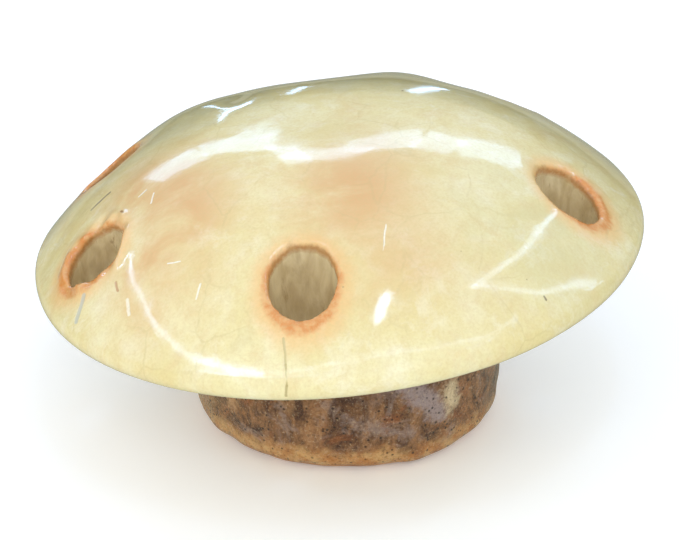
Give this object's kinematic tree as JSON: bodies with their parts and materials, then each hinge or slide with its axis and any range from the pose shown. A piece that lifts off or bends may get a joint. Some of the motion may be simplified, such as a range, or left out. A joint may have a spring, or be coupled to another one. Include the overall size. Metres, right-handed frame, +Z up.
{
  "type": "flower frog",
  "caption": "Mushroom-shaped glazed ceramic flower frog: thick domed cap with a ring of stem holes on a hollow pedestal foot, to hold cut flowers upright in a bowl",
  "frame": {"origin": "on the ground, below the middle of the cap", "axes": "+Z up the pedestal, -X the side the cap leans down to, -Y the side with three stem holes facing the viewer"},
  "size_m": [0.1134, 0.114, 0.0592],
  "materials": {
    "clay": "matte",
    "cream_glaze": "gloss",
    "brown_glaze": "gloss"
  },
  "bodies": {
    "root": {"cap_body": "clay", "cap_glaze": "cream_glaze", "slip_joint": "clay", "luting_coil": "brown_glaze", "stem_body": "clay", "stem_glaze": "brown_glaze"}
  },
  "joints": []
}
